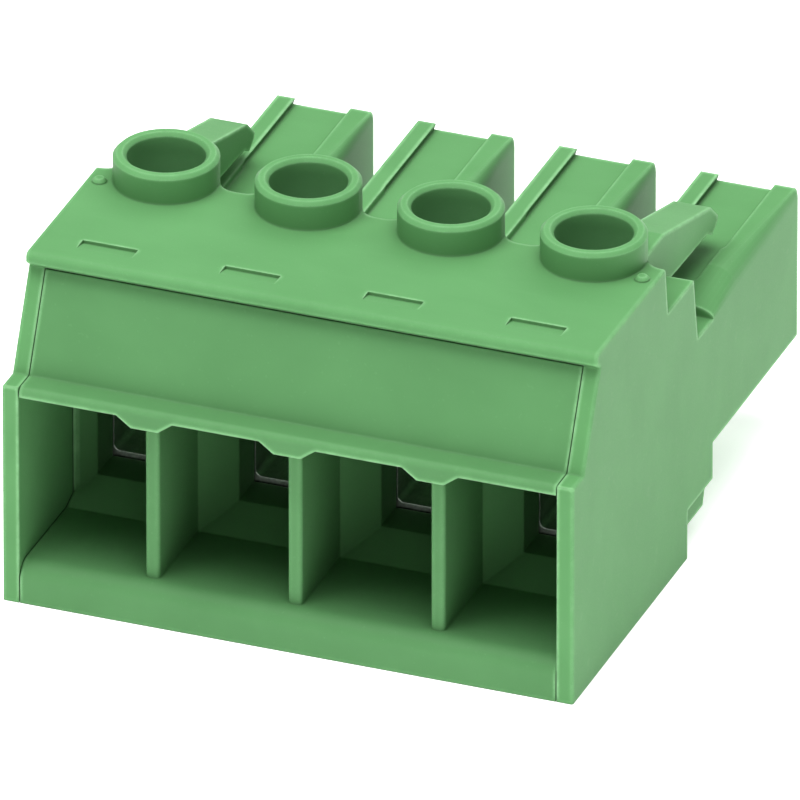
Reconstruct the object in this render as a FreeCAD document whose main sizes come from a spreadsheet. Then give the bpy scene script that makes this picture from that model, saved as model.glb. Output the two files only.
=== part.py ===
"""Pluggable terminal block with four screw clamps, for a row of header pins.

Millimetres. X runs along the row of poles, Y from the wire side to the pin side and Z up.
Every piece is drawn with Y counted from the wire face, and its Placement moves it by half
of the depth, so that the origin of the model is the centre of the bottom of its box.
"""
import FreeCAD, Part
import math
import os
import Sketcher
from types import SimpleNamespace

SIZES = {
    # Row of poles
    "poles": 4,
    "pitch": 7.62,
    "depth": 32.0,
    # Housing, seen from the side
    "ledge_height": 12.2,
    "ledge_depth": 1.45,
    "slope_top_back": 3.75,
    "slope_top_drop": 0.93,
    "brow_front": 3.3,
    "brow_thick": 0.58,
    "roof_height": 18.08,
    "roof_thick": 0.95,
    "first_step_draft": 0.35,
    "first_step_height": 15.42,
    "step_wall": 1.8,
    "second_step_draft": 0.6,
    "second_step_height": 11.82,
    "second_step_depth": 2.25,
    "block_bottom": 2.73,
    "base_wall": 1.05,
    "end_wall": 0.88,
    "brow_round": 0.35,
    "end_round": 0.15,
    # Rail under the step, which the header's latch grips
    "rail_inset": 0.3,
    "rail_bottom": 1.45,
    "rail_setback": 0.17,
    "rail_draft": 0.45,
    # Prongs round the contacts
    "prong_width": 5.21,
    "prong_bottom": 4.78,
    "prong_top": 13.15,
    "prong_round_front": 1.25,
    "prong_round_back_wide": 0.15,
    "prong_round_back_tall": 0.55,
    "channel_depth": 0.34,
    "channel_left": 0.97,
    "channel_near_lean": 0.03,
    "channel_far_undercut": 0.1,
    "channel_floor_right": 3.79,
    "channel_right": 3.97,
    "channel_near_length": 4.7,
    "channel_jog": 0.16,
    "channel_jog_length": 0.4,
    "shoulder_rise": 0.56,
    "shoulder_length": 3.0,
    "prong_back_wall": 1.0,
    # Latch arms over the outer prongs
    "arm_thick": 2.0,
    "arm_inset": 1.79,
    "arm_top_drop": 0.66,
    "arm_flat_past_step": 0.57,
    "arm_reach": 8.25,
    "arm_nose_length": 1.01,
    "arm_nose_rise": 0.95,
    "arm_tip_clear": 1.5,
    "arm_lip_draft": 0.15,
    "arm_lip_clear": 1.18,
    "arm_nose_setback": 0.8,
    "arm_nose_clear": 0.8,
    "arm_catch_setback": 1.5,
    "arm_catch_clear": 1.18,
    "arm_root_clear": 1.4,
    # Collars round the screw heads
    "collar_wall": 0.7,
    "collar_rise": 1.57,
    "collar_bevel": 0.2,
    "web_radius": 1.1,
    # Marks and dimples on the roof
    "mark_width": 2.95,
    "mark_front": 4.6,
    "mark_length": 0.91,
    "mark_depth": 0.16,
    "mark_shift": 0.1,
    "dimple_radius": 0.38,
    "dimple_height": 0.22,
    "dimple_bevel": 0.15,
    "dimple_inset": 0.74,
    "dimple_setback": 1.35,
    # Wire entry insert
    "insert_gap": 0.05,
    "insert_back": 10.8,
    "bar_height": 0.52,
    "bar_round": 0.33,
    "partition": 0.75,
    "partition_setback": 0.1,
    "partition_round": 0.22,
    "sill_height": 2.2,
    "sill_round": 0.95,
    "funnel_front": 6.4,
    "funnel_back": 8.7,
    "funnel_floor": 3.05,
    "gusset_drop": 0.58,
    "gusset_narrow": 1.44,
    "gusset_wide": 3.0,
    # Clamp cage that rises round the wire
    "cage_gap": 0.15,
    "cage_front_gap": 0.2,
    "cage_inner_width": 4.2,
    "cage_side": 0.8,
    "cage_floor_thick": 0.9,
    "cage_top_thick": 1.7,
    "cage_floor": 3.3,
    "cage_depth": 3.9,
    "cage_inner_round": 0.33,
    "cage_outer_round": 0.5,
    "cage_top_gap": 0.1,
    "cage_travel": 4.0,
    "cavity_top_gap": 0.35,
    # Screw
    "shank_radius": 1.42,
    "thread_gap": 0.08,
    "shank_hole_gap": 0.2,
    "head_radius": 1.9,
    "head_gap": 0.1,
    "head_height": 1.7,
    "head_slot_width": 0.6,
    "head_slot_depth": 0.9,
    "shelf_thick": 0.75,
    "tip_gap": 0.02,
    "tip_chamfer": 0.3,
    # Contact bar with its fork
    "bar_bottom": 7.5,
    "bar_thick": 1.2,
    "bar_width": 3.6,
    "bar_front_gap": 0.05,
    "bar_rear_gap": 0.15,
    "fork_width": 3.0,
    "fork_height": 4.0,
    "fork_neck": 2.4,
    "fork_root_depth": 0.95,
    "fork_slot_depth": 0.8,
    "fork_flare": 2.2,
    "fork_end_gap": 0.6,
    "fork_leaf": 0.6,
    "fork_mouth": 1.6,
    "pin_rise": 1.4,
    "pin_thick": 1.0,
    "pinch_bite": 0.1,
    "chamber_gap": 0.1,
    "socket_width": 3.2,
    "socket_height": 1.5,
    "socket_bevel": 0.6,
    # Steel spring clip over the fork
    "clip_thick": 0.25,
    "clip_lead": 2.2,
    "clip_length": 2.8,
    "clip_gap": 0.05,
    "clip_side_gap": 0.06,
    "clip_lip": 0.5,
}


# How far a pad runs into the solid that it joins, and a cut runs past the face it opens
LAP = 0.3

# How close a point has to lie to a place to count as being there
REACH = 0.02

# The least change of volume that counts as one, in cubic millimetres
LEAST_CHANGE = 1e-4

# Number of flats that round the corner of a prong
PRONG_FLATS = 6


class Size:
    """A number together with the sheet formula that gives it."""

    def __init__(self, number, formula=None):
        self.number = float(number)
        self.formula = formula or repr(float(number))

    def joined(self, other, sign, number):
        return Size(number, f"({self.formula} {sign} {other.formula})")

    def __add__(self, other):
        other = as_size(other)
        return self.joined(other, "+", self.number + other.number)

    def __sub__(self, other):
        other = as_size(other)
        return self.joined(other, "-", self.number - other.number)

    def __mul__(self, other):
        other = as_size(other)
        return self.joined(other, "*", self.number * other.number)

    def __truediv__(self, other):
        other = as_size(other)
        return self.joined(other, "/", self.number / other.number)

    def __radd__(self, other):
        return as_size(other) + self

    def __rsub__(self, other):
        return as_size(other) - self

    def __rmul__(self, other):
        return as_size(other) * self

    def __neg__(self):
        return as_size(0) - self


def as_size(value):
    return value if isinstance(value, Size) else Size(value)


def root(value):
    return Size(math.sqrt(value.number), f"sqrt({value.formula})")


def write_sheet(doc):
    sheet = doc.addObject("Spreadsheet::Sheet", "Sizes")
    for row, (name, number) in enumerate(SIZES.items(), start=1):
        sheet.set(f"A{row}", name)
        sheet.set(f"B{row}", str(number))
        sheet.setAlias(f"B{row}", name)
    doc.recompute()
    return SimpleNamespace(**{name: Size(number, f"Sizes.{name}") for name, number in SIZES.items()})


def bind(item, prop, value):
    item.setExpression(prop, as_size(value).formula)


def new_body(name, across=0):
    """A body for one piece, moved along the row and back by half of the depth."""
    body = DOC.addObject("PartDesign::Body", name)
    body.Label = name
    bind(body, "Placement.Base.x", across)
    bind(body, "Placement.Base.y", -S.depth / 2)
    return body


def origin_part(body, role):
    return next(item for item in body.Origin.OriginFeatures if item.Role == role)


def new_sketch(body, name, plane, level):
    """A sketch on an origin plane, moved along X, Y or Z to its level."""
    sketch = body.newObject("Sketcher::SketchObject", name)
    sketch.AttachmentSupport = [(origin_part(body, plane + "_Plane"), "")]
    sketch.MapMode = "FlatFace"
    level = as_size(level)
    bind(sketch, "AttachmentOffset.Base.z", -level if plane == "XZ" else level)
    return sketch


def hold(sketch, kind, item, point, value):
    """One bound dimension: a coordinate of a point, or a radius when the point is None."""
    where = (item,) if point is None else (item, point)
    index = sketch.addConstraint(Sketcher.Constraint(kind, *where, value.number))
    bind(sketch, f"Constraints[{index}]", value)


def add_short_arc(sketch, start, end, radius, centre):
    """The shorter arc between two points; returns which of its ends lies at the start."""
    middle = FreeCAD.Vector(as_size(centre[0]).number, as_size(centre[1]).number, 0)
    first = math.atan2(start.y - middle.y, start.x - middle.x)
    last = math.atan2(end.y - middle.y, end.x - middle.x)
    forward = (last - first) % (2 * math.pi) < math.pi
    if not forward:
        first, last = last, first
    ring = Part.Circle(middle, FreeCAD.Vector(0, 0, 1), radius.number)
    sketch.addGeometry(Part.ArcOfCircle(ring, first, last))
    return 1 if forward else 2


def outline(body, name, plane, corners, level=0, arcs=None):
    """A closed outline through the corners; arcs gives {side: (radius, centre)} for round sides."""
    sketch = new_sketch(body, name, plane, level)
    corners = [(as_size(u), as_size(v)) for u, v in corners]
    arcs = arcs or {}
    points = [FreeCAD.Vector(u.number, v.number, 0) for u, v in corners]
    count = len(points)
    starts = {}
    for side in range(count):
        start = points[side]
        end = points[(side + 1) % count]
        starts[side] = 1
        if side in arcs:
            starts[side] = add_short_arc(sketch, start, end, *arcs[side])
        else:
            sketch.addGeometry(Part.LineSegment(start, end))
    for side in range(count):
        after = (side + 1) % count
        sketch.addConstraint(
            Sketcher.Constraint("Coincident", side, 3 - starts[side], after, starts[after]))
    for side, (u, v) in enumerate(corners):
        hold(sketch, "DistanceX", side, starts[side], u)
        hold(sketch, "DistanceY", side, starts[side], v)
    for side, (radius, _) in arcs.items():
        hold(sketch, "Radius", side, None, radius)
    return sketch


def rectangle(body, name, plane, low_u, low_v, high_u, high_v, level=0):
    corners = [(low_u, low_v), (high_u, low_v), (high_u, high_v), (low_u, high_v)]
    return outline(body, name, plane, corners, level)


def circle(body, name, plane, u, v, radius, level=0):
    sketch = new_sketch(body, name, plane, level)
    u, v, radius = as_size(u), as_size(v), as_size(radius)
    centre = FreeCAD.Vector(u.number, v.number, 0)
    sketch.addGeometry(Part.Circle(centre, FreeCAD.Vector(0, 0, 1), radius.number))
    hold(sketch, "DistanceX", 0, 3, u)
    hold(sketch, "DistanceY", 0, 3, v)
    hold(sketch, "Radius", 0, None, radius)
    return sketch


def feature(body, kind, name, **values):
    item = body.newObject("PartDesign::" + kind, name)
    for prop, value in values.items():
        setattr(item, prop, value)
    body.Tip = item
    return item


def changed(body, before, name):
    """Recompute, and stop if the last feature of the body left its volume as it was."""
    DOC.recompute()
    after = body.Tip.Shape.Volume
    if abs(after - before) < LEAST_CHANGE:
        raise RuntimeError(f"{body.Label}: {name} changed nothing")


def sweep(body, kind, name, sketch, length, symmetric=False, towards=1):
    """A pad or a pocket; towards is 1 for the sketch's own normal and -1 against it."""
    before = body.Tip.Shape.Volume if body.Tip else 0
    item = feature(body, kind, name, Profile=sketch)
    bind(item, "Length", length)
    if symmetric:
        item.SideType = "Symmetric"
    normal = 1 if kind == "Pad" else -1
    item.Reversed = towards != normal
    changed(body, before, name)
    return item


def loft(body, kind, name, first, second):
    before = body.Tip.Shape.Volume
    item = feature(body, kind, name, Profile=first, Ruled=True)
    item.Sections = [second]
    changed(body, before, name)
    return item


def in_row(body, name, originals, count=None):
    """Copies of features for each further pole, one pitch apart."""
    before = body.Tip.Shape.Volume
    item = feature(body, "LinearPattern", name, Originals=originals)
    item.Direction = (origin_part(body, "X_Axis"), [""])
    count = S.poles if count is None else count
    bind(item, "Occurrences", count)
    bind(item, "Length", S.pitch * (count - 1))
    changed(body, before, name)
    return item


def mirrored(body, name, originals):
    before = body.Tip.Shape.Volume
    item = feature(body, "Mirrored", name, Originals=originals)
    item.MirrorPlane = (origin_part(body, "YZ_Plane"), [""])
    changed(body, before, name)
    return item


def soften(body, kind, name, size, wanted):
    """A fillet or a chamfer along the edges whose middle point passes the test."""
    before = body.Tip.Shape.Volume
    base = body.Tip
    edges = [f"Edge{number}" for number, edge in enumerate(base.Shape.Edges, start=1)
             if wanted(middle_of(edge))]
    if not edges:
        raise RuntimeError(f"{body.Label}: no edge found for {name}")
    item = feature(body, kind, name, Base=(base, edges))
    bind(item, "Radius" if kind == "Fillet" else "Size", size)
    changed(body, before, name)
    return item


def middle_of(edge):
    return edge.valueAt((edge.FirstParameter + edge.LastParameter) / 2)


def near(value, size):
    return abs(value - as_size(size).number) < REACH


def lies(point, x=None, y=None, z=None):
    """True where the point has the given coordinates."""
    return all(size is None or near(value, size) for value, size in zip(point, (x, y, z)))


def housing():
    """The moulded shell: end walls, roof, step, prongs, latch arms and collars."""
    body = new_body("housing")
    side = [
        (0, 0),
        (0, S.ledge_height),
        (S.ledge_depth, S.ledge_height),
        (S.slope_top_back, SLOPE_TOP),
        (S.brow_front, BROW_UNDER),
        (S.brow_front, S.roof_height),
        (SCREW_AXIS, S.roof_height),
        (SCREW_AXIS + S.first_step_draft, S.first_step_height),
        (FIRST_STEP_BACK, S.first_step_height),
        (SECOND_STEP_FRONT, S.second_step_height),
        (BLOCK_BACK, S.second_step_height),
        (BLOCK_BACK, S.block_bottom),
        (BASE_BACK, S.block_bottom),
        (BASE_BACK, 0),
    ]
    sweep(body, "Pad", "shell", outline(body, "shell_side", "YZ", side), WIDTH, symmetric=True)
    rail_and_prongs(body)
    latch_arms(body)
    collars(body)
    roof_marks(body)
    insert_bay(body)
    cage_cavities(body)
    contact_chambers(body)
    screw_bores(body)
    housing_rounds(body)
    return body


def rail_and_prongs(body):
    rail = [
        (BASE_BACK - LAP, S.block_bottom + LAP),
        (BASE_BACK - LAP, S.rail_bottom),
        (RAIL_BACK - S.rail_draft, S.rail_bottom),
        (RAIL_BACK, S.block_bottom),
        (RAIL_BACK, S.block_bottom + LAP),
    ]
    sketch = outline(body, "rail_side", "YZ", rail)
    sweep(body, "Pad", "rail", sketch, WIDTH - 2 * S.rail_inset, symmetric=True)
    left = PRONG_LEFT
    right = left + S.prong_width
    end = rectangle(body, "prong_end", "XZ", left, S.prong_bottom, right, S.prong_top, BLOCK_BACK)
    pad = sweep(body, "Pad", "prong", end, S.depth - BLOCK_BACK, towards=-1)
    corner = loft(body, "SubtractiveLoft", "prong_round",
                  corner_outside(body, "round_front", right, BLOCK_BACK,
                                 S.prong_round_front, S.prong_round_front),
                  corner_outside(body, "round_back", right, S.depth,
                                 S.prong_round_back_wide, S.prong_round_back_tall))
    in_row(body, "prongs", [pad, *channel_cuts(body), corner, shoulder_cut(body)])


def channel_cuts(body):
    """The channel along the top of a prong: its left side leans near the step and is undercut
    behind it, and its right side jogs between the two."""
    near_end = BLOCK_BACK + S.channel_near_length
    far_start = near_end + S.channel_jog_length
    near = (S.channel_near_lean, S.channel_jog)
    far = (-S.channel_far_undercut, 0)
    leaning = channel_outline(body, "channel_near_end", BLOCK_BACK, *near)
    near_cut = sweep(body, "Pocket", "channel_near", leaning, S.channel_near_length, towards=-1)
    jog = loft(body, "SubtractiveLoft", "channel_jog",
               channel_outline(body, "jog_front", near_end, *near),
               channel_outline(body, "jog_back", far_start, *far))
    undercut = channel_outline(body, "channel_far_end", far_start, *far)
    far_cut = sweep(body, "Pocket", "channel_far", undercut, S.depth - far_start, towards=-1)
    return [near_cut, jog, far_cut]


def channel_outline(body, name, level, lean, jog):
    """The section of the channel, with the lean of its left side and the jog of its right one."""
    floor = S.prong_top - S.channel_depth
    left = PRONG_LEFT + S.channel_left
    corners = [
        (left, S.prong_top),
        (left + lean, floor),
        (PRONG_LEFT + S.channel_floor_right - jog, floor),
        (PRONG_LEFT + S.channel_right - jog, S.prong_top),
    ]
    return outline(body, name, "XZ", corners, level)


def corner_outside(body, name, right, level, wide, tall):
    """What a top right corner rounded in flats leaves out of a square one."""
    top = S.prong_top
    corners = [(right, top)]
    for step in range(PRONG_FLATS + 1):
        turn = math.pi / 2 * step / PRONG_FLATS
        inwards = wide * (1 - math.cos(turn))
        down = tall * (1 - math.sin(turn))
        corners.append((right - inwards, top - down))
    return outline(body, name, "XZ", corners, level)


def shoulder_cut(body):
    """The right rib of a prong dips to a low rounded shoulder where it meets the step."""
    far = S.shoulder_length
    share = far / (S.depth - BLOCK_BACK)
    wide = S.prong_round_front + (S.prong_round_back_wide - S.prong_round_front) * share
    tall = S.prong_round_front + (S.prong_round_back_tall - S.prong_round_front) * share
    rib = S.prong_width - S.channel_right + S.channel_jog
    front = shoulder_outside(body, "shoulder_front", BLOCK_BACK, rib, rib,
                             S.second_step_height, S.shoulder_rise)
    back = shoulder_outside(body, "shoulder_back", BLOCK_BACK + far, rib, wide,
                            S.prong_top - tall, tall)
    return loft(body, "SubtractiveLoft", "prong_shoulder", front, back)


def shoulder_outside(body, name, level, rib, wide, low, rise):
    """What lies above the rib where its outer corner rounds from the low level up by the rise."""
    right = PRONG_LEFT + S.prong_width
    over = S.prong_top + LAP
    corners = [(right, over)]
    for step in range(PRONG_FLATS + 1):
        turn = math.pi / 2 * step / PRONG_FLATS
        corners.append((right - wide * (1 - math.cos(turn)), low + rise * math.sin(turn)))
    corners.append((right - rib - LAP, low + rise))
    corners.append((right - rib - LAP, over))
    return outline(body, name, "XZ", corners, level)


def latch_arms(body):
    """Wedge-shaped arms over the outer prongs, each with a catch behind its drooping nose."""
    outer = HALF_WIDTH - S.arm_inset
    top = S.roof_height - S.arm_top_drop
    nose = S.prong_top + S.arm_tip_clear
    tip = FIRST_STEP_BACK + S.arm_reach
    arm = [
        (SCREW_AXIS, S.first_step_height - LAP),
        (SCREW_AXIS, top),
        (FIRST_STEP_BACK + S.arm_flat_past_step, top),
        (tip - S.arm_nose_length, nose + S.arm_nose_rise),
        (tip, nose),
        (tip - S.arm_lip_draft, S.prong_top + S.arm_lip_clear),
        (tip - S.arm_nose_setback, S.prong_top + S.arm_nose_clear),
        (tip - S.arm_catch_setback, S.prong_top + S.arm_catch_clear),
        (FIRST_STEP_BACK, S.prong_top + S.arm_root_clear),
    ]
    sketch = outline(body, "arm_side", "YZ", arm, outer - S.arm_thick)
    pad = sweep(body, "Pad", "arm", sketch, S.arm_thick)
    mirrored(body, "arms", [pad])


def collars(body):
    """Round collars on the roof's rear edge, with hollow webs between collar and edge."""
    bottom = S.first_step_height - LAP
    sketch = circle(body, "collar_ring", "XY", FIRST_POLE, SCREW_AXIS, COLLAR_RADIUS, bottom)
    collar = sweep(body, "Pad", "collar", sketch, COLLAR_TOP - bottom)
    reach = COLLAR_RADIUS + S.web_radius
    along = root(reach * reach - S.web_radius * S.web_radius)
    share = COLLAR_RADIUS / reach
    centre_y = SCREW_AXIS + S.web_radius
    touch_y = SCREW_AXIS + S.web_radius * share
    corners = [
        (FIRST_POLE - along, SCREW_AXIS - 2 * LAP),
        (FIRST_POLE + along, SCREW_AXIS - 2 * LAP),
        (FIRST_POLE + along, SCREW_AXIS),
        (FIRST_POLE + along * share, touch_y),
        (FIRST_POLE - along * share, touch_y),
        (FIRST_POLE - along, SCREW_AXIS),
    ]
    arcs = {
        2: (S.web_radius, (FIRST_POLE + along, centre_y)),
        4: (S.web_radius, (FIRST_POLE - along, centre_y)),
    }
    web = outline(body, "web_plan", "XY", corners, bottom, arcs)
    web_pad = sweep(body, "Pad", "web", web, S.roof_height - bottom)
    in_row(body, "collar_row", [collar, web_pad])


def roof_marks(body):
    """A shallow wedge mark over each wire entry, and a dimple on each end of the roof."""
    back = S.mark_front + S.mark_length
    wedge = [
        (S.mark_front, S.roof_height),
        (back, S.roof_height),
        (back, S.roof_height - S.mark_depth),
    ]
    start = FIRST_POLE - S.mark_shift - S.mark_width / 2
    cut = sweep(body, "Pocket", "mark", outline(body, "mark_side", "YZ", wedge, start), S.mark_width)
    in_row(body, "marks", [cut])
    dimple = circle(body, "dimple_ring", "XY", HALF_WIDTH - S.dimple_inset,
                    SCREW_AXIS - S.dimple_setback, S.dimple_radius, S.roof_height - LAP)
    pad = sweep(body, "Pad", "dimple", dimple, S.dimple_height + LAP)
    mirrored(body, "dimples", [pad])
    top = S.roof_height + S.dimple_height
    soften(body, "Chamfer", "dimple_bevel", S.dimple_bevel, lambda point: lies(point, z=top))


def insert_bay(body):
    """The room for the wire entry insert, open at the front and below."""
    roof_under = S.roof_height - S.roof_thick
    room = rectangle(body, "bay_side", "YZ", -LAP, -LAP, S.insert_back + S.insert_gap, roof_under)
    sweep(body, "Pocket", "insert_bay", room, WIDTH - 2 * S.end_wall, symmetric=True)


def cage_cavities(body):
    floor = CAGE_BOTTOM - S.cage_gap
    half = CAGE_HALF + S.cage_gap
    plan = rectangle(body, "cavity_plan", "XY", FIRST_POLE - half, S.insert_back - LAP,
                     FIRST_POLE + half, CAVITY_BACK, floor)
    cut = sweep(body, "Pocket", "cavity", plan, CAVITY_TOP - floor)
    in_row(body, "cavities", [cut])


def contact_chambers(body):
    """A chamber in each prong, and a bevelled socket for the header pin in its back wall."""
    centre = PRONG_CENTRE
    half = S.fork_width / 2 + S.clip_gap + S.clip_thick + S.clip_side_gap
    low = PIN_LEVEL - S.fork_height / 2 - S.chamber_gap
    high = PIN_LEVEL + S.fork_height / 2 + S.chamber_gap
    room = rectangle(body, "chamber_end", "XZ", centre - half, low, centre + half, high, CAGE_BACK)
    depth = S.depth - S.prong_back_wall - CAGE_BACK
    chamber = sweep(body, "Pocket", "chamber", room, depth, towards=-1)
    wide = S.socket_width / 2
    tall = S.socket_height / 2
    hole = rectangle(body, "socket_end", "XZ", centre - wide, PIN_LEVEL - tall,
                     centre + wide, PIN_LEVEL + tall, S.depth - S.prong_back_wall - LAP)
    socket = sweep(body, "Pocket", "socket", hole, S.prong_back_wall + LAP, towards=-1)
    inner = rectangle(body, "bevel_inner", "XZ", centre - wide, PIN_LEVEL - tall,
                      centre + wide, PIN_LEVEL + tall, S.depth - S.socket_bevel)
    wide = wide + S.socket_bevel
    tall = tall + S.socket_bevel
    outer = rectangle(body, "bevel_outer", "XZ", centre - wide, PIN_LEVEL - tall,
                      centre + wide, PIN_LEVEL + tall, S.depth)
    bevel = loft(body, "SubtractiveLoft", "bevel", inner, outer)
    in_row(body, "contact_rooms", [chamber, socket, bevel])


def screw_bores(body):
    bore = circle(body, "bore_ring", "XY", FIRST_POLE, SCREW_AXIS, COLLAR_BORE, HEAD_BOTTOM)
    wide = sweep(body, "Pocket", "bore", bore, COLLAR_TOP - HEAD_BOTTOM)
    radius = S.shank_radius + S.shank_hole_gap
    hole = circle(body, "shank_ring", "XY", FIRST_POLE, SCREW_AXIS, radius, CAVITY_TOP - LAP)
    narrow = sweep(body, "Pocket", "shank_hole", hole, S.shelf_thick + 2 * LAP)
    in_row(body, "bores", [wide, narrow])


def housing_rounds(body):
    """Soft moulded edges: collar rims, brow and the outer edges of the end walls."""
    soften(body, "Chamfer", "collar_rims", S.collar_bevel, lambda point: lies(point, z=COLLAR_TOP))
    soften(body, "Fillet", "brow_round", S.brow_round,
           lambda point: lies(point, y=S.brow_front, z=S.roof_height))
    soften(body, "Fillet", "end_rounds", S.end_round,
           lambda point: near(abs(point.x), HALF_WIDTH) and outer_edge(point))


def outer_edge(point):
    """True on the front, ledge, slope and roof edges of an end wall."""
    return point.y < SCREW_AXIS.number and point.z > LAP


def entry_insert():
    """The moulding between the end walls: sill, partitions, front bar, slope and funnels."""
    body = new_body("entry_insert")
    half = HALF_WIDTH - S.end_wall - S.insert_gap
    top = S.roof_height - S.roof_thick - S.insert_gap
    slope = (S.slope_top_back - S.ledge_depth) / (SLOPE_TOP - S.ledge_height)
    side = [
        (0, 0),
        (0, S.ledge_height),
        (S.ledge_depth, S.ledge_height),
        (S.ledge_depth + (top - S.ledge_height) * slope, top),
        (S.insert_back, top),
        (S.insert_back, 0),
    ]
    sweep(body, "Pad", "block", outline(body, "block_side", "YZ", side), half * 2, symmetric=True)
    slot = [
        (-LAP, BAR_UNDER),
        (-LAP, S.sill_height - S.sill_round),
        (0, S.sill_height - S.sill_round),
        (S.sill_round, S.sill_height),
        (PARTITION_FRONT, S.sill_height),
        (PARTITION_FRONT, BAR_UNDER),
    ]
    lip = {2: (S.sill_round, (S.sill_round, S.sill_height - S.sill_round))}
    sketch = outline(body, "front_slot_side", "YZ", slot, arcs=lip)
    sweep(body, "Pocket", "front_slot", sketch, (half + LAP) * 2, symmetric=True)
    bays_and_funnels(body)
    gussets(body)
    soften(body, "Fillet", "bar_edge", S.bar_round,
           lambda point: lies(point, y=0, z=S.ledge_height))
    soften(body, "Fillet", "partition_edges", S.partition_round, partition_corner)
    return body


def partition_corner(point):
    """True on the two front edges of a partition."""
    beside = any(near(abs(point.x - place), S.partition / 2) for place in BOUNDARIES)
    return beside and near(point.y, PARTITION_FRONT) and point.z < BAR_UNDER.number


def bays_and_funnels(body):
    """A bay for each wire, which narrows to a straight way into the cage."""
    half = (S.pitch - S.partition) / 2
    bay = rectangle(body, "bay_plan", "XY", FIRST_POLE - half, PARTITION_FRONT - LAP,
                    FIRST_POLE + half, S.funnel_front, S.sill_height)
    bay_cut = sweep(body, "Pocket", "bay", bay, BAR_UNDER - S.sill_height)
    way = S.cage_inner_width / 2
    mouth = rectangle(body, "funnel_mouth", "XZ", FIRST_POLE - half, S.sill_height,
                      FIRST_POLE + half, BAR_UNDER, S.funnel_front)
    throat = rectangle(body, "funnel_throat", "XZ", FIRST_POLE - way, S.funnel_floor,
                       FIRST_POLE + way, S.bar_bottom, S.funnel_back)
    funnel = loft(body, "SubtractiveLoft", "funnel", mouth, throat)
    straight = rectangle(body, "way_end", "XZ", FIRST_POLE - way, S.funnel_floor,
                         FIRST_POLE + way, S.bar_bottom, S.funnel_back)
    way_cut = sweep(body, "Pocket", "wire_way", straight, S.insert_back - S.funnel_back, towards=-1)
    in_row(body, "wire_entries", [bay_cut, funnel, way_cut])


def gussets(body):
    """Stiffening corners under the front bar, one at each partition."""
    low = BAR_UNDER - S.gusset_drop
    place = FIRST_POLE + S.pitch / 2
    corners = [
        (place - S.gusset_wide / 2, BAR_UNDER + LAP),
        (place - S.gusset_wide / 2, BAR_UNDER),
        (place - S.gusset_narrow / 2, low),
        (place + S.gusset_narrow / 2, low),
        (place + S.gusset_wide / 2, BAR_UNDER),
        (place + S.gusset_wide / 2, BAR_UNDER + LAP),
    ]
    sketch = outline(body, "gusset_face", "XZ", corners)
    pad = sweep(body, "Pad", "gusset", sketch, PARTITION_FRONT + LAP, towards=-1)
    in_row(body, "gusset_row", [pad], S.poles - 1)


def clamp_cage(pole):
    """The metal sleeve round the wire; its thick top takes the screw."""
    body = new_body(f"clamp_cage_{pole}", place_of(pole))
    front = CAGE_FRONT
    outer = rectangle(body, "sleeve_end", "XZ", -CAGE_HALF, CAGE_BOTTOM, CAGE_HALF, CAGE_TOP, front)
    sweep(body, "Pad", "sleeve", outer, S.cage_depth, towards=-1)
    inner = rectangle(body, "window_end", "XZ", -S.cage_inner_width / 2, S.cage_floor,
                      S.cage_inner_width / 2, CAGE_TOP - S.cage_top_thick, front)
    sweep(body, "Pocket", "window", inner, S.cage_depth, towards=-1)
    half = S.cage_inner_width / 2
    soften(body, "Fillet", "window_corners", S.cage_inner_round,
           lambda point: near(abs(point.x), half) and near(point.y, SCREW_AXIS))
    soften(body, "Fillet", "sleeve_corners", S.cage_outer_round,
           lambda point: near(abs(point.x), CAGE_HALF) and near(point.y, SCREW_AXIS))
    ring = circle(body, "thread_ring", "XY", 0, SCREW_AXIS, S.shank_radius + S.thread_gap,
                  CAGE_TOP - S.cage_top_thick - LAP)
    sweep(body, "Pocket", "thread_hole", ring, S.cage_top_thick + 2 * LAP)
    return body


def clamp_screw(pole):
    """Slotted screw: its head turns in the collar and its tip bears on the contact bar."""
    body = new_body(f"clamp_screw_{pole}", place_of(pole))
    tip = S.bar_bottom + S.bar_thick + S.tip_gap
    shank = circle(body, "shank_ring", "XY", 0, SCREW_AXIS, S.shank_radius, tip)
    sweep(body, "Pad", "shank", shank, HEAD_BOTTOM - tip)
    head = circle(body, "head_ring", "XY", 0, SCREW_AXIS, S.head_radius, HEAD_BOTTOM)
    sweep(body, "Pad", "head", head, S.head_height)
    top = HEAD_BOTTOM + S.head_height
    slot = rectangle(body, "slot_side", "YZ", SCREW_AXIS - S.head_slot_width / 2,
                     top - S.head_slot_depth, SCREW_AXIS + S.head_slot_width / 2, top)
    sweep(body, "Pocket", "slot", slot, (S.head_radius + LAP) * 2, symmetric=True)
    soften(body, "Chamfer", "tip_chamfer", S.tip_chamfer, lambda point: lies(point, z=tip))
    return body


def contact_bar(pole):
    """Flat bar in the cage, which runs back into a two-leaf fork for the header pin."""
    body = new_body(f"contact_bar_{pole}", place_of(pole))
    half = S.fork_width / 2
    left = FORK_SHIFT - half
    right = FORK_SHIFT + half
    half_bar = S.bar_width / 2
    shoulder = CAVITY_BACK - S.bar_rear_gap
    plan = [
        (-half_bar, S.insert_back + S.bar_front_gap),
        (half_bar, S.insert_back + S.bar_front_gap),
        (half_bar, shoulder),
        (right, shoulder + right - half_bar),
        (right, FORK_ROOT),
        (left, FORK_ROOT),
        (left, shoulder),
        (-half_bar, shoulder),
    ]
    sketch = outline(body, "bar_plan", "XY", plan, S.bar_bottom)
    sweep(body, "Pad", "bar", sketch, S.bar_thick)
    side = fork_side()
    sketch = outline(body, "fork_side", "YZ", side, left)
    sweep(body, "Pad", "fork", sketch, S.fork_width)
    return body


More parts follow.
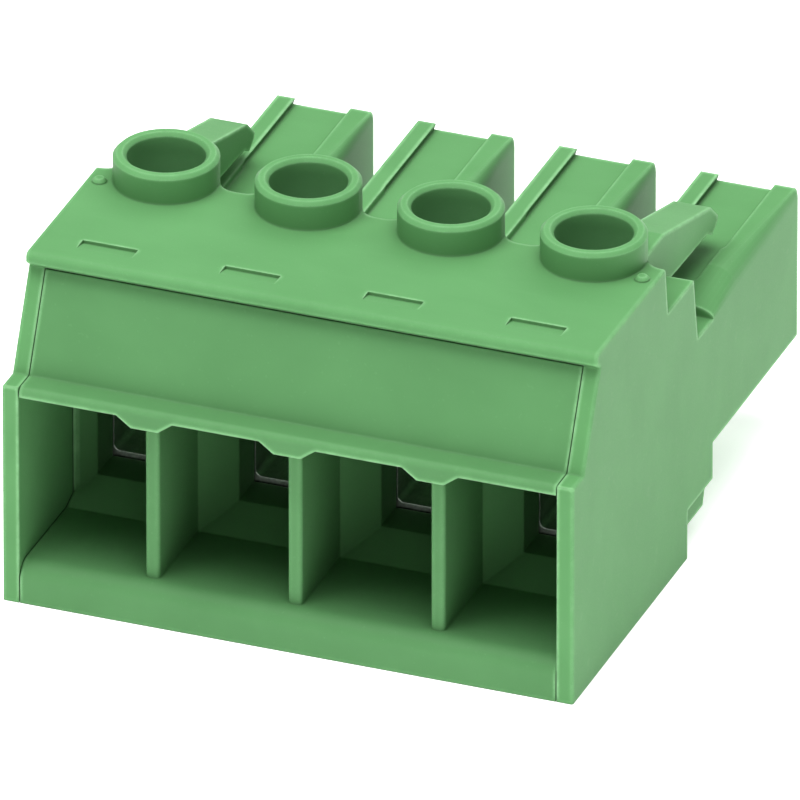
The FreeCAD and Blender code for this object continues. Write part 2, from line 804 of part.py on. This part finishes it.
def fork_side():
    """The fork seen from the side: two leaves that pinch the pin and flare at the mouth."""
    level = PIN_LEVEL
    reach = S.fork_height / 2
    pinch = S.pin_thick / 2 - S.pinch_bite
    mouth = S.fork_mouth / 2
    upper = [
        (FORK_ROOT, level + reach),
        (FORK_PINCH, level + pinch + S.fork_leaf),
        (FORK_END, level + mouth + S.fork_leaf),
        (FORK_END, level + mouth),
        (FORK_PINCH, level + pinch),
        (FORK_ROOT + S.fork_slot_depth, level + reach - S.fork_leaf),
    ]
    lower = [(along, 2 * level - up) for along, up in reversed(upper)]
    neck = FORK_ROOT - S.fork_neck
    return upper + lower + [(neck, S.bar_bottom), (neck, S.bar_bottom + S.bar_thick)]


def contact_spring(pole):
    """Open steel clip round the fork, which backs up its leaves."""
    body = new_body(f"contact_spring_{pole}", place_of(pole))
    half = S.fork_width / 2 + S.clip_gap
    front = FORK_PINCH - S.clip_lead
    share = (front - FORK_ROOT) / (FORK_PINCH - FORK_ROOT)
    pinched = S.pin_thick / 2 - S.pinch_bite + S.fork_leaf
    reach = S.fork_height / 2 + (pinched - S.fork_height / 2) * share + S.clip_gap
    level = PIN_LEVEL
    outer = half + S.clip_thick
    top = reach + S.clip_thick
    lip = half - S.clip_lip
    strip = [
        (FORK_SHIFT - lip, level + reach),
        (FORK_SHIFT + half, level + reach),
        (FORK_SHIFT + half, level - reach),
        (FORK_SHIFT - lip, level - reach),
        (FORK_SHIFT - lip, level - top),
        (FORK_SHIFT + outer, level - top),
        (FORK_SHIFT + outer, level + top),
        (FORK_SHIFT - lip, level + top),
    ]
    sketch = outline(body, "clip_end", "XZ", strip, front)
    sweep(body, "Pad", "clip", sketch, S.clip_length, towards=-1)
    return body


def place_of(pole):
    return FIRST_POLE + S.pitch * (pole - 1)


def finish(pieces):
    """Check every object and piece, then write one file for each piece."""
    DOC.recompute()
    for item in DOC.Objects:
        if "Invalid" in item.State or "Error" in item.State:
            raise RuntimeError(f"{item.Name} failed: {item.State}")
    for piece in pieces:
        shape = piece.Shape
        if shape.isNull() or not shape.isValid():
            raise RuntimeError(f"{piece.Label} has no valid shape")
        if len(shape.Solids) != 1:
            raise RuntimeError(f"{piece.Label} is {len(shape.Solids)} solids")
        print(piece.Label, round(shape.Volume, 3), "mm3")
    os.makedirs("parts", exist_ok=True)
    for piece in pieces:
        piece.Shape.exportStep(f"parts/{piece.Label}.step")


DOC = FreeCAD.newDocument("terminal_block")
S = write_sheet(DOC)

WIDTH = S.pitch * S.poles
HALF_WIDTH = WIDTH / 2
FIRST_POLE = (S.pitch - WIDTH) / 2
PRONG_LEFT = FIRST_POLE + S.pitch / 2 - S.prong_width
PRONG_CENTRE = PRONG_LEFT + S.prong_width / 2
FORK_SHIFT = S.pitch / 2 - S.prong_width / 2
CAGE_HALF = S.cage_inner_width / 2 + S.cage_side
CAGE_BOTTOM = S.cage_floor - S.cage_floor_thick
CAGE_FRONT = S.insert_back + S.cage_front_gap
CAGE_BACK = CAGE_FRONT + S.cage_depth
CAVITY_BACK = CAGE_BACK + S.cage_gap * 2
SCREW_AXIS = CAGE_FRONT + S.cage_depth / 2
CAGE_TOP = S.bar_bottom + S.bar_thick + S.cage_top_gap + S.cage_top_thick
CAVITY_TOP = CAGE_TOP + S.cage_travel + S.cavity_top_gap
HEAD_BOTTOM = CAVITY_TOP + S.shelf_thick
COLLAR_BORE = S.head_radius + S.head_gap
COLLAR_RADIUS = COLLAR_BORE + S.collar_wall
COLLAR_TOP = S.roof_height + S.collar_rise
SLOPE_TOP = S.roof_height - S.slope_top_drop
BROW_UNDER = S.roof_height - S.brow_thick
FIRST_STEP_BACK = CAVITY_BACK + S.step_wall
SECOND_STEP_FRONT = FIRST_STEP_BACK + S.second_step_draft
BLOCK_BACK = SECOND_STEP_FRONT + S.second_step_depth
BASE_BACK = CAVITY_BACK + S.base_wall
RAIL_BACK = BLOCK_BACK - S.rail_setback
BAR_UNDER = S.ledge_height - S.bar_height
FORK_ROOT = BLOCK_BACK + S.fork_root_depth
FORK_END = S.depth - S.prong_back_wall - S.fork_end_gap
FORK_PINCH = FORK_END - S.fork_flare
PIN_LEVEL = S.bar_bottom + S.pin_rise
PARTITION_FRONT = S.sill_round + S.partition_setback
BOUNDARIES = [(FIRST_POLE + S.pitch * (number + 0.5)).number
              for number in range(int(S.poles.number) - 1)]

PIECES = [housing(), entry_insert()]
for NUMBER in range(1, int(S.poles.number) + 1):
    PIECES += [clamp_cage(NUMBER), clamp_screw(NUMBER), contact_bar(NUMBER), contact_spring(NUMBER)]
finish(PIECES)
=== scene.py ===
"""Looks of the pluggable terminal block: plastics, metals, threaded screws, light and camera.

Metres. X runs along the row of poles, Y from the wire side to the pin side and Z up.
"""

import math

import bmesh
import bpy
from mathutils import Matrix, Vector


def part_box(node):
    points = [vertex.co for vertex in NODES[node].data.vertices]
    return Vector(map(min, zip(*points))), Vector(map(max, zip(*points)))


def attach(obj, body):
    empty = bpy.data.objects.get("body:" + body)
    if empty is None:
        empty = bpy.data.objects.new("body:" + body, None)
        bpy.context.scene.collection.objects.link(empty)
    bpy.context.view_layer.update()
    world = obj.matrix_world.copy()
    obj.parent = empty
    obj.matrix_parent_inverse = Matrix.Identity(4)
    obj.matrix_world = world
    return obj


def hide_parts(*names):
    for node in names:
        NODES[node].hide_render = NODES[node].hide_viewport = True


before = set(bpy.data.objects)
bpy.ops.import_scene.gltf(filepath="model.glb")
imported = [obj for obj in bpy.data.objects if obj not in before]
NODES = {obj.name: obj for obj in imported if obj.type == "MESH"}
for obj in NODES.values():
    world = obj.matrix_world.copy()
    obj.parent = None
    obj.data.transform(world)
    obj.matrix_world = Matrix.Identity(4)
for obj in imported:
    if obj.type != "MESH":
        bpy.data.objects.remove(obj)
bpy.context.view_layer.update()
POLES = 4
MM = 0.001

# Rays for each look-up of a rounded normal and of the space round a point
BEVEL_SAMPLES = 6
OCCLUSION_SAMPLES = 8

# Plastic: reach of the edge and corner masks, and height of the moulded grain
PLASTIC_EDGE = 0.19 * MM
PLASTIC_RIDGE = 0.24 * MM
PLASTIC_CORNER = 0.4 * MM
GRAIN_HEIGHT = 0.005 * MM

# Metal: reach of the mask for the painted shade in grooves
METAL_SHADE_REACH = 0.6 * MM


# Small builders for node materials

class Graph:
    """A new material with its shader, and short calls for the nodes that feed it."""

    def __init__(self, name):
        self.material = bpy.data.materials.new(name)
        self.material.use_nodes = True
        self.tree = self.material.node_tree
        self.tree.nodes.clear()
        self.shader = self.node("ShaderNodeBsdfPrincipled")
        output = self.node("ShaderNodeOutputMaterial")
        self.join(self.shader.outputs["BSDF"], output.inputs["Surface"])
        self.place = self.node("ShaderNodeTexCoord").outputs["Object"]

    def node(self, kind, **values):
        item = self.tree.nodes.new(kind)
        for name, value in values.items():
            setattr(item, name, value)
        return item

    def join(self, source, target):
        self.tree.links.new(source, target)

    def fill(self, socket, value):
        if isinstance(value, bpy.types.NodeSocket):
            self.join(value, socket)
        else:
            socket.default_value = value

    def math(self, operation, first, second=0.0, clamp=False):
        item = self.node("ShaderNodeMath", operation=operation, use_clamp=clamp)
        self.fill(item.inputs[0], first)
        self.fill(item.inputs[1], second)
        return item.outputs[0]

    def spread(self, value, low, high, out_low=0.0, out_high=1.0):
        """A value from low to high mapped on to another range, and held at its ends."""
        item = self.node("ShaderNodeMapRange")
        self.fill(item.inputs["Value"], value)
        ends = {"From Min": low, "From Max": high, "To Min": out_low, "To Max": out_high}
        for name, number in ends.items():
            item.inputs[name].default_value = number
        return item.outputs["Result"]

    def mapped(self, stretch=(1, 1, 1), turn=(0, 0, 0)):
        item = self.node("ShaderNodeMapping")
        self.join(self.place, item.inputs["Vector"])
        item.inputs["Scale"].default_value = stretch
        item.inputs["Rotation"].default_value = turn
        return item.outputs["Vector"]

    def noise(self, size, detail=2.0, rough=0.5, distortion=0.0, vector=None):
        """Noise whose blotches are about size metres across."""
        item = self.node("ShaderNodeTexNoise")
        self.join(vector or self.place, item.inputs["Vector"])
        item.inputs["Scale"].default_value = 1 / size
        item.inputs["Detail"].default_value = detail
        item.inputs["Roughness"].default_value = rough
        item.inputs["Distortion"].default_value = distortion
        return item.outputs["Fac"]

    def mix(self, share, first, second):
        item = self.node("ShaderNodeMix", data_type="RGBA")
        self.fill(item.inputs["Factor"], share)
        self.fill(item.inputs["A"], first)
        self.fill(item.inputs["B"], second)
        return item.outputs["Result"]

    def edges(self, radius):
        """The rounded normal, and a mask that is 1 on the edges and 0 on the faces."""
        rounded = self.node("ShaderNodeBevel", samples=BEVEL_SAMPLES)
        rounded.inputs["Radius"].default_value = radius
        plain = self.node("ShaderNodeNewGeometry").outputs["Normal"]
        along = self.node("ShaderNodeVectorMath", operation="DOT_PRODUCT")
        self.join(rounded.outputs["Normal"], along.inputs[0])
        self.join(plain, along.inputs[1])
        mask = self.spread(along.outputs["Value"], 0.995, 0.80)
        return rounded.outputs["Normal"], mask

    def occlusion(self, reach, **values):
        item = self.node("ShaderNodeAmbientOcclusion", samples=OCCLUSION_SAMPLES, **values)
        item.inputs["Distance"].default_value = reach
        return item.outputs["AO"]

    def recess(self, reach, alone=True):
        """1 in the open and down to 0 in deep recesses; other pieces count too unless alone."""
        return self.occlusion(reach, only_local=alone)

    def ridge(self, reach):
        """1 along outer edges, where there is little material within reach under the surface."""
        return self.spread(self.occlusion(reach, only_local=True, inside=True), 0.92, 0.68)

    def bump(self, height, depth, normal, strength=1.0):
        item = self.node("ShaderNodeBump")
        item.inputs["Strength"].default_value = strength
        item.inputs["Distance"].default_value = depth
        self.join(height, item.inputs["Height"])
        self.join(normal, item.inputs["Normal"])
        return item.outputs["Normal"]

    def set(self, **values):
        for name, value in values.items():
            self.fill(self.shader.inputs[name.replace("_", " ")], value)
        return self.material


def shade(red, green, blue):
    """A colour given as a screen shows it, 0 to 255, made linear."""
    def linear(part):
        part = part / 255
        return part / 12.92 if part <= 0.04045 else ((part + 0.055) / 1.055) ** 2.4
    return (linear(red), linear(green), linear(blue), 1.0)


# Materials

# Painted shade for plastic seams and corners, painted highlight for metal edges, painted shade for
# metal grooves
CORNER_SHADE_GREEN = shade(40, 76, 40)
EDGE_HIGHLIGHT = shade(235, 238, 235)
GROOVE_SHADE = shade(60, 62, 60)


def moulded_plastic(name, body, deep, highlight_and_wear, grain, recess_shade, reach, full):
    """Semi-matt moulded plastic: flow clouds, grain, scuffs, painted highlight with abrasion on
    edges, and painted shade in seams and recesses.

    grain is the roughness, reach how far a recess looks round, and full the openness from
    which a place gets no more painted shade.
    """
    g = Graph(name)
    normal, edge = g.edges(PLASTIC_EDGE)
    clouds = g.noise(7 * MM, detail=3, rough=0.55, distortion=0.6)
    flow = g.noise(2.2 * MM, detail=2, vector=g.mapped(stretch=(0.35, 1.0, 0.6)))
    tone = g.math("ADD", g.math("MULTIPLY", clouds, 0.65), g.math("MULTIPLY", flow, 0.35))
    colour = g.mix(g.spread(tone, 0.35, 0.68), deep, body)
    specks = g.spread(g.noise(0.16 * MM, detail=0), 0.76, 0.82)
    colour = g.mix(g.math("MULTIPLY", specks, 0.05), colour, highlight_and_wear)
    # Patchy mask for the painted highlight and abrasion on convex edges, kept out of corners
    patch_noise = g.spread(g.noise(0.9 * MM, detail=4, rough=0.65), 0.35, 0.65)
    corner = g.recess(PLASTIC_CORNER, alone=False)
    highlight_and_wear_patches = g.math("MULTIPLY", g.spread(patch_noise, 0, 1, 0.4, 0.85), g.spread(corner, 0.65, 0.95))
    ridge = g.math("MULTIPLY", g.ridge(PLASTIC_RIDGE), 0.8)
    crest = g.math("MAXIMUM", g.math("MULTIPLY", edge, 0.7), ridge)
    highlight_and_wear_share = g.math("MULTIPLY", crest, highlight_and_wear_patches)
    # Painted highlight along convex edges, mixed with abrasion
    colour = g.mix(highlight_and_wear_share, colour, highlight_and_wear)
    # Painted shade in seams and concave corners, counting other pieces
    colour = g.mix(g.spread(corner, 0.05, 0.5), CORNER_SHADE_GREEN, colour)
    # Painted shade in recesses, deeper the more closed in a place is
    open_share = g.spread(g.recess(reach), 0.15, full)
    colour = g.mix(open_share, recess_shade, colour)
    fine = g.noise(0.07 * MM, detail=2, rough=0.6)
    coarse = g.noise(0.32 * MM, detail=1)
    height = g.math("ADD", g.math("MULTIPLY", fine, 0.6), g.math("MULTIPLY", coarse, 0.4))
    along = g.mapped(stretch=(0.12, 1.0, 1.0), turn=(0, 0, 0.5))
    scuffs = g.noise(0.5 * MM, detail=3, vector=along)
    rough = g.math("ADD", g.spread(fine, 0.3, 0.7, grain - 0.04, grain + 0.05),
                   g.spread(scuffs, 0.62, 0.75, 0.0, -0.07))
    rough = g.math("SUBTRACT", rough, g.math("MULTIPLY", edge, 0.06))
    return g.set(Base_Color=colour, Roughness=rough, IOR=1.5, Specular_IOR_Level=0.08,
                 Normal=g.bump(height, GRAIN_HEIGHT, normal, 0.5), Subsurface_Weight=0.12,
                 Subsurface_Radius=(0.7 * MM, 1.2 * MM, 0.7 * MM), Subsurface_Scale=1.0)


def plated_metal(name, body, dull, rough, brush, edge_radius, relief):
    """Plated metal: brush lines, cloudy plating, dull spots, painted highlight on edges and
    painted shade in grooves.

    brush stretches the lines along the axis with the smallest number, and relief is their height.
    """
    g = Graph(name)
    normal, edge = g.edges(edge_radius)
    lines = g.noise(0.10 * MM, detail=3, rough=0.6, vector=g.mapped(stretch=brush))
    cloud = g.noise(1.1 * MM, detail=3, rough=0.6)
    spots = g.spread(g.noise(0.30 * MM, detail=2), 0.60, 0.72)
    share = g.math("ADD", g.math("MULTIPLY", cloud, 0.5), g.math("MULTIPLY", lines, 0.5))
    colour = g.mix(g.spread(share, 0.35, 0.65), dull, body)
    colour = g.mix(g.math("MULTIPLY", spots, 0.35), colour, dull)
    # Painted highlight along edges, partly standing for edges polished bright
    colour = g.mix(g.math("MULTIPLY", edge, 0.8), colour, EDGE_HIGHLIGHT)
    # Painted shade in grooves, slots and thread roots
    open_share = g.spread(g.recess(METAL_SHADE_REACH), 0.15, 0.9)
    colour = g.mix(open_share, GROOVE_SHADE, colour)
    finish = g.math("ADD", g.spread(lines, 0.3, 0.7, rough - 0.06, rough + 0.08),
                    g.math("MULTIPLY", spots, 0.10))
    finish = g.math("SUBTRACT", finish, g.math("MULTIPLY", edge, 0.05), clamp=True)
    return g.set(Base_Color=colour, Metallic=1.0, Roughness=finish,
                 Normal=g.bump(lines, relief, normal, 0.6))


def dress(node, material):
    mesh = NODES[node].data
    if not mesh.materials:
        mesh.materials.append(material)
    for index in range(len(mesh.materials)):
        mesh.materials[index] = material


SHELL_GREEN = moulded_plastic(
    "shell_green", body=shade(95, 150, 95), deep=shade(89, 143, 89), highlight_and_wear=shade(150, 206, 150),
    grain=0.46, recess_shade=shade(76, 122, 74), reach=2.5 * MM, full=1.0)
INSERT_GREEN = moulded_plastic(
    "insert_green", body=shade(90, 141, 90), deep=shade(84, 133, 84), highlight_and_wear=shade(140, 198, 140),
    grain=0.47, recess_shade=shade(53, 92, 51), reach=7 * MM, full=0.92)
# The green tint of the nickel is a painted reflection of the green plastic round the cages
NICKEL = plated_metal(
    "nickel_plate", body=shade(186, 200, 186), dull=shade(156, 170, 156), rough=0.38,
    brush=(1.0, 0.25, 1.0), edge_radius=0.07 * MM, relief=0.003 * MM)
ZINC = plated_metal(
    "zinc_plate", body=shade(182, 184, 188), dull=shade(140, 142, 146), rough=0.30,
    brush=(1.0, 1.0, 0.10), edge_radius=0.05 * MM, relief=0.001 * MM)
TIN = plated_metal(
    "tin_plate", body=shade(206, 203, 196), dull=shade(160, 156, 150), rough=0.34,
    brush=(1.0, 0.06, 1.0), edge_radius=0.05 * MM, relief=0.002 * MM)
SPRING_STEEL = plated_metal(
    "spring_steel", body=shade(166, 168, 172), dull=shade(112, 114, 118), rough=0.24,
    brush=(0.08, 1.0, 1.0), edge_radius=0.03 * MM, relief=0.002 * MM)

dress("housing", SHELL_GREEN)
dress("entry_insert", INSERT_GREEN)
for pole in range(1, POLES + 1):
    dress(f"clamp_cage_{pole}", NICKEL)
    dress(f"contact_bar_{pole}", TIN)
    dress(f"contact_spring_{pole}", SPRING_STEEL)
    dress(f"clamp_screw_{pole}", ZINC)


# Screws with real threads and a driver slot, in place of the plain ones

THREAD_PITCH = 0.5 * MM
THREAD_DEPTH = 0.27 * MM
SHANK_RADIUS = 1.42 * MM
TIP_CHAMFER = 0.3 * MM
HEAD_RADIUS = 1.9 * MM
HEAD_HEIGHT = 1.7 * MM
HEAD_ROUND = 0.12 * MM
SLOT_WIDTH = 0.6 * MM
SLOT_DEPTH = 0.9 * MM

# How far the shank runs into the head, and the slot's cutter past the top of it
SHANK_LAP = 0.02 * MM
CUTTER_LAP = 0.2 * MM

# Points round a screw, and rings of points to a turn of the thread
AROUND = 64
PER_TURN = 12

# Shares of the pitch that the flat root and the two flanks of the thread take
THREAD_FLAT = 0.12
THREAD_FLANK = 0.72

# Edges that turn by more than these angles, in degrees, stay sharp
THREAD_SHARP = 50
HEAD_SHARP = 35


def thread_wave(turns):
    """Height of the thread's flank, 0 at the root and 1 at the crest, with small flats."""
    ramp = 1 - abs((turns % 1.0) * 2 - 1)
    return min(1.0, max(0.0, (ramp - THREAD_FLAT) / THREAD_FLANK))


def shank_mesh(low, high, radius):
    """A right-hand thread round the Z axis from low to high, closed at both ends."""
    mesh = bmesh.new()
    levels = max(2, int((high - low) / THREAD_PITCH * PER_TURN))
    rings = []
    for level in range(levels + 1):
        height = low + (high - low) * level / levels
        run_out = min(1.0, (high - height) / THREAD_PITCH)
        tip_limit = radius - TIP_CHAMFER + min(TIP_CHAMFER, height - low)
        ring = []
        for step in range(AROUND):
            angle = math.tau * step / AROUND
            wave = thread_wave(height / THREAD_PITCH - step / AROUND)
            here = radius - THREAD_DEPTH * (1 - wave * run_out)
            here = min(here, tip_limit)
            ring.append(mesh.verts.new((here * math.cos(angle), here * math.sin(angle), height)))
        rings.append(ring)
    for below, above in zip(rings, rings[1:]):
        for step in range(AROUND):
            after = (step + 1) % AROUND
            mesh.faces.new((below[step], below[after], above[after], above[step]))
    mesh.faces.new(list(reversed(rings[0])))
    mesh.faces.new(rings[-1])
    return mesh


def turned_mesh(profile):
    """A closed shape turned round Z from (radius, height) points, first and last on the axis."""
    mesh = bmesh.new()
    rings = []
    for radius, height in profile[1:-1]:
        ring = []
        for step in range(AROUND):
            angle = math.tau * step / AROUND
            place = (radius * math.cos(angle), radius * math.sin(angle), height)
            ring.append(mesh.verts.new(place))
        rings.append(ring)
    bottom = mesh.verts.new((0, 0, profile[0][1]))
    top = mesh.verts.new((0, 0, profile[-1][1]))
    for step in range(AROUND):
        after = (step + 1) % AROUND
        mesh.faces.new((bottom, rings[0][after], rings[0][step]))
        mesh.faces.new((top, rings[-1][step], rings[-1][after]))
        for below, above in zip(rings, rings[1:]):
            mesh.faces.new((below[step], below[after], above[after], above[step]))
    return mesh


def as_object(mesh, name):
    data = bpy.data.meshes.new(name)
    bmesh.ops.recalc_face_normals(mesh, faces=mesh.faces)
    mesh.to_mesh(data)
    mesh.free()
    item = bpy.data.objects.new(name, data)
    bpy.context.scene.collection.objects.link(item)
    return item


def slotted(item, middle, size):
    """Cut a box out of the item, then drop the box."""
    box = bmesh.new()
    bmesh.ops.create_cube(box, size=1)
    bmesh.ops.scale(box, vec=size, verts=box.verts)
    bmesh.ops.translate(box, vec=middle, verts=box.verts)
    cutter = as_object(box, item.name + "_cutter")
    cut = item.modifiers.new("slot", "BOOLEAN")
    cut.operation = "DIFFERENCE"
    cut.solver = "EXACT"
    cut.object = cutter
    bpy.context.view_layer.update()
    evaluated = item.evaluated_get(bpy.context.evaluated_depsgraph_get())
    shaped = bpy.data.meshes.new_from_object(evaluated)
    item.modifiers.clear()
    item.data = shaped
    bpy.data.objects.remove(cutter)


def screw(pole):
    """A threaded shank and a slotted head, on the body of the plain screw that they replace."""
    low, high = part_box(f"clamp_screw_{pole}")
    axis = (low + high) / 2
    top = high.z
    under = top - HEAD_HEIGHT
    shank = shank_mesh(low.z, under + SHANK_LAP, SHANK_RADIUS)
    shank_item = as_object(shank, f"screw_thread_{pole}")
    soft = HEAD_ROUND
    profile = [
        (0, under),
        (HEAD_RADIUS - soft, under),
        (HEAD_RADIUS, under + soft),
        (HEAD_RADIUS, top - 2.2 * soft),
        (HEAD_RADIUS - 0.3 * soft, top - 1.1 * soft),
        (HEAD_RADIUS - 1.1 * soft, top - 0.35 * soft),
        (HEAD_RADIUS - 2.4 * soft, top),
        (0, top),
    ]
    head_item = as_object(turned_mesh(profile), f"screw_head_{pole}")
    slotted(head_item, (0, 0, top - SLOT_DEPTH / 2 + CUTTER_LAP / 2),
            (3 * HEAD_RADIUS, SLOT_WIDTH, SLOT_DEPTH + CUTTER_LAP))
    for item in (shank_item, head_item):
        item.location = (axis.x, axis.y, 0)
        item.data.materials.clear()
        item.data.materials.append(ZINC)
        item.data.shade_smooth()
        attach(item, f"screw_{pole}")
    shank_item.data.set_sharp_from_angle(angle=math.radians(THREAD_SHARP))
    head_item.data.set_sharp_from_angle(angle=math.radians(HEAD_SHARP))
    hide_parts(f"clamp_screw_{pole}")
    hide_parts(f"clamp_screw_{pole}")


for pole in range(1, POLES + 1):
    screw(pole)


# Floor, light and camera

WHITE = (1.0, 1.0, 1.0, 1.0)
FLOOR_SPAN = 3.0
FLOOR_GAP = 0.02 * MM
FLOOR_GLOW = 0.50

# Strength of the world as light on the part, and as the camera sees it
AIR_LIGHT = 0.15
AIR_SEEN = 1.0


def floor_material():
    g = Graph("pale_floor")
    tone = g.noise(50 * MM, detail=2)
    colour = g.mix(tone, shade(250, 250, 250), shade(253, 253, 253))
    return g.set(Base_Color=colour, Roughness=0.6, IOR=1.3, Emission_Color=WHITE,
                 Emission_Strength=FLOOR_GLOW)


floor_data = bpy.data.meshes.new("floor")
signs = ((-1, -1), (1, -1), (1, 1), (-1, 1))
floor_corners = [(x * FLOOR_SPAN, y * FLOOR_SPAN, 0) for x, y in signs]
floor_data.from_pydata(floor_corners, [], [(0, 1, 2, 3)])
floor = bpy.data.objects.new("floor", floor_data)
floor.location.z = -FLOOR_GAP
floor_data.materials.append(floor_material())
bpy.context.scene.collection.objects.link(floor)

scene = bpy.context.scene
scene.view_settings.view_transform = "Standard"
world = bpy.data.worlds.new("studio")
world.use_nodes = True
air = world.node_tree.nodes["Background"]
air.inputs["Color"].default_value = WHITE
strength = world.node_tree.nodes.new("ShaderNodeMapRange")
strength.inputs["To Min"].default_value = AIR_LIGHT
strength.inputs["To Max"].default_value = AIR_SEEN
seen = world.node_tree.nodes.new("ShaderNodeLightPath").outputs["Is Camera Ray"]
world.node_tree.links.new(seen, strength.inputs["Value"])
world.node_tree.links.new(strength.outputs["Result"], air.inputs["Strength"])
scene.world = world

LIGHT_TARGET = Vector((0, 0, 9 * MM))


def direction(azimuth, elevation):
    """Unit vector from the part, with the azimuth counted from the wire side towards +X."""
    turn = math.radians(azimuth)
    rise = math.radians(elevation)
    return Vector((math.sin(turn) * math.cos(rise), -math.cos(turn) * math.cos(rise),
                   math.sin(rise)))


def aim(item, target, away, distance):
    """Put a light or camera at the distance from the target, facing it."""
    item.location = target + away * distance
    item.rotation_euler = (-away).to_track_quat("-Z", "Y").to_euler()
    bpy.context.scene.collection.objects.link(item)


def area_light(name, azimuth, elevation, distance, wide, high, power):
    """A soft box that faces the part from the given direction."""
    data = bpy.data.lights.new(name, "AREA")
    data.shape = "RECTANGLE"
    data.size = wide
    data.size_y = high
    data.energy = power
    aim(bpy.data.objects.new(name, data), LIGHT_TARGET, direction(azimuth, elevation), distance)


# Azimuth and elevation in degrees, distance, width and height in metres, power in watts
area_light("key", -60, 70, 0.45, 0.30, 0.30, 1.5)
area_light("front_fill", 10, 7, 0.55, 0.40, 0.12, 0.74)
area_light("right_fill", 60, 35, 0.50, 0.30, 0.20, 0.08)
area_light("back_fill", 168, 35, 0.50, 0.40, 0.40, 1.0)
area_light("top", 40, 80, 0.50, 0.35, 0.35, 2.0)

# Fitted to the photograph: degrees, metres, and millimetres for the lens
CAMERA_AZIMUTH = 20.910
CAMERA_ELEVATION = 28.484
CAMERA_DISTANCE = 1.80
CAMERA_LENS = 1623.13
CAMERA_TARGET = Vector((0.0029205, -0.0078617, 0.0107515))

lens = bpy.data.cameras.new("camera")
lens.sensor_width = 36.0
lens.lens = CAMERA_LENS
lens.clip_start = 0.1
lens.clip_end = 20.0
camera = bpy.data.objects.new("camera", lens)
aim(camera, CAMERA_TARGET, direction(CAMERA_AZIMUTH, CAMERA_ELEVATION), CAMERA_DISTANCE)
scene.camera = camera

bpy.context.view_layer.update()
